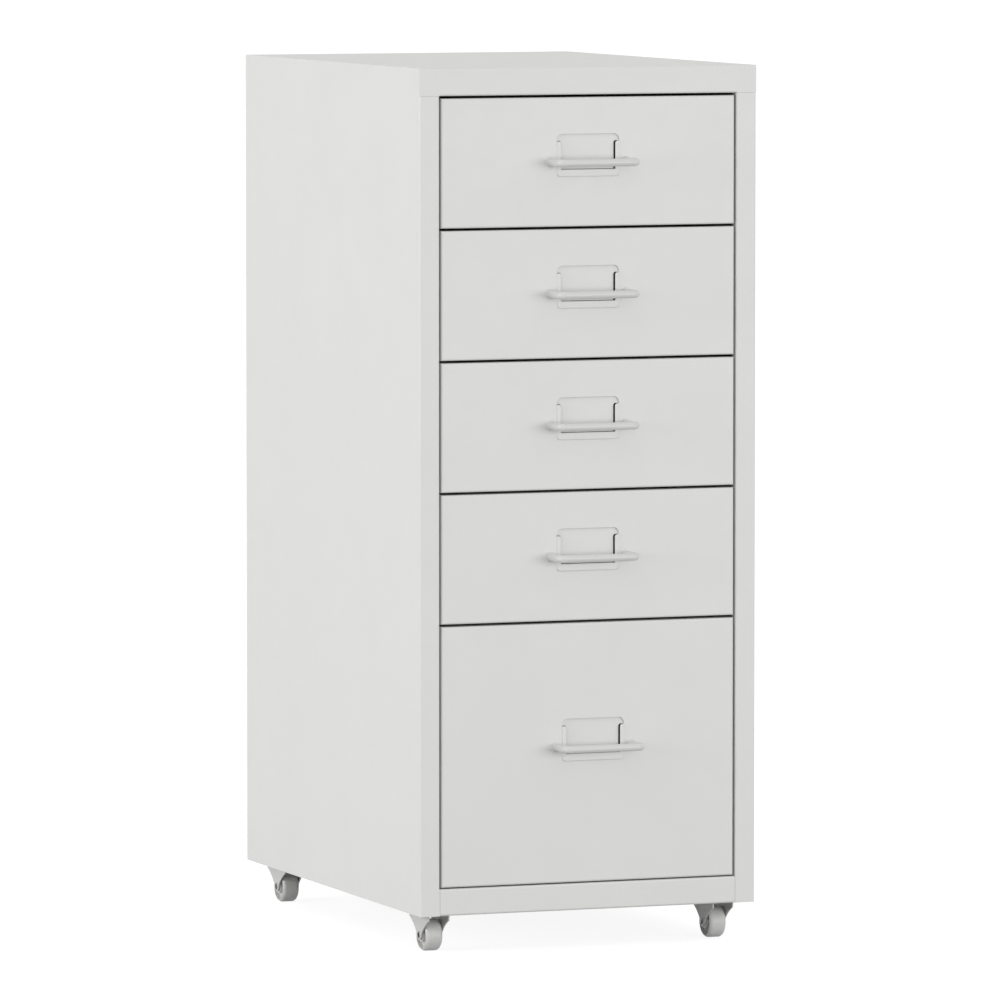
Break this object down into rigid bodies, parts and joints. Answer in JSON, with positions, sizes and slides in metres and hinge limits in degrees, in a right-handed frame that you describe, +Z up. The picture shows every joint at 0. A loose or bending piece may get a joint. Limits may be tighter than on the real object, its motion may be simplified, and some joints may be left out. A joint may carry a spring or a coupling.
{
  "type": "drawer cabinet",
  "caption": "Tall narrow sheet-metal drawer cabinet with low drawers over a deep one, wire pulls, pressed card holders and small fixed castors.",
  "frame": {"origin": "on the floor, at the middle of the whole width and depth, pulls and rear screw heads included", "axes": "+Z up; +X to the right seen from the front; the drawer fronts face -Y"},
  "size_m": [0.28, 0.437, 0.688],
  "materials": {
    "case_paint": "satin",
    "drawer_paint": "satin",
    "pull_paint": "gloss",
    "fork_paint": "satin",
    "runner_zinc": "galvanised",
    "screw_zinc": "zinc plated",
    "rivet_steel": "plain",
    "wheel_plastic": "moulded"
  },
  "bodies": {
    "cabinet": {"side_panel_left": "case_paint", "side_panel_right": "case_paint", "top_panel": "case_paint", "bottom_panel": "case_paint", "back_panel": "case_paint", "back_screws": "screw_zinc", "runner_left_1": "runner_zinc", "runner_right_1": "runner_zinc", "runner_left_2": "runner_zinc", "runner_right_2": "runner_zinc", "runner_left_3": "runner_zinc", "runner_right_3": "runner_zinc", "runner_left_4": "runner_zinc", "runner_right_4": "runner_zinc", "runner_left_5": "runner_zinc", "runner_right_5": "runner_zinc", "castor_fork_front_left": "fork_paint", "castor_axle_front_left": "rivet_steel", "castor_fork_front_right": "fork_paint", "castor_axle_front_right": "rivet_steel", "castor_fork_rear_left": "fork_paint", "castor_axle_rear_left": "rivet_steel", "castor_fork_rear_right": "fork_paint", "castor_axle_rear_right": "rivet_steel", "castor_screws": "screw_zinc", "castor_nuts": "screw_zinc"},
    "drawer_1": {"drawer_tray_1": "drawer_paint", "tray_ends_1": "drawer_paint", "drawer_front_1": "drawer_paint", "pull_1": "pull_paint", "pull_screws_1": "screw_zinc"},
    "drawer_2": {"drawer_tray_2": "drawer_paint", "tray_ends_2": "drawer_paint", "drawer_front_2": "drawer_paint", "pull_2": "pull_paint", "pull_screws_2": "screw_zinc"},
    "drawer_3": {"drawer_tray_3": "drawer_paint", "tray_ends_3": "drawer_paint", "drawer_front_3": "drawer_paint", "pull_3": "pull_paint", "pull_screws_3": "screw_zinc"},
    "drawer_4": {"drawer_tray_4": "drawer_paint", "tray_ends_4": "drawer_paint", "drawer_front_4": "drawer_paint", "pull_4": "pull_paint", "pull_screws_4": "screw_zinc"},
    "drawer_5": {"drawer_tray_5": "drawer_paint", "tray_ends_5": "drawer_paint", "drawer_front_5": "drawer_paint", "pull_5": "pull_paint", "pull_screws_5": "screw_zinc"},
    "wheel_front_left": {"castor_wheel_front_left": "wheel_plastic"},
    "wheel_front_right": {"castor_wheel_front_right": "wheel_plastic"},
    "wheel_rear_left": {"castor_wheel_rear_left": "wheel_plastic"},
    "wheel_rear_right": {"castor_wheel_rear_right": "wheel_plastic"}
  },
  "joints": [
    {"name": "drawer_1_slide", "type": "slide", "parent": "cabinet", "child": "drawer_1", "axis": [0, -1, 0], "range_m": [0, 0.285]},
    {"name": "drawer_2_slide", "type": "slide", "parent": "cabinet", "child": "drawer_2", "axis": [0, -1, 0], "range_m": [0, 0.285]},
    {"name": "drawer_3_slide", "type": "slide", "parent": "cabinet", "child": "drawer_3", "axis": [0, -1, 0], "range_m": [0, 0.285]},
    {"name": "drawer_4_slide", "type": "slide", "parent": "cabinet", "child": "drawer_4", "axis": [0, -1, 0], "range_m": [0, 0.285]},
    {"name": "drawer_5_slide", "type": "slide", "parent": "cabinet", "child": "drawer_5", "axis": [0, -1, 0], "range_m": [0, 0.285]},
    {"name": "wheel_front_left_spin", "type": "hinge", "parent": "cabinet", "child": "wheel_front_left", "pos_m": [-0.119, -0.1571, 0.0125], "axis": [1, 0, 0], "continuous": true},
    {"name": "wheel_front_right_spin", "type": "hinge", "parent": "cabinet", "child": "wheel_front_right", "pos_m": [0.119, -0.1571, 0.0125], "axis": [1, 0, 0], "continuous": true},
    {"name": "wheel_rear_left_spin", "type": "hinge", "parent": "cabinet", "child": "wheel_rear_left", "pos_m": [-0.119, 0.1789, 0.0125], "axis": [1, 0, 0], "continuous": true},
    {"name": "wheel_rear_right_spin", "type": "hinge", "parent": "cabinet", "child": "wheel_rear_right", "pos_m": [0.119, 0.1789, 0.0125], "axis": [1, 0, 0], "continuous": true}
  ]
}
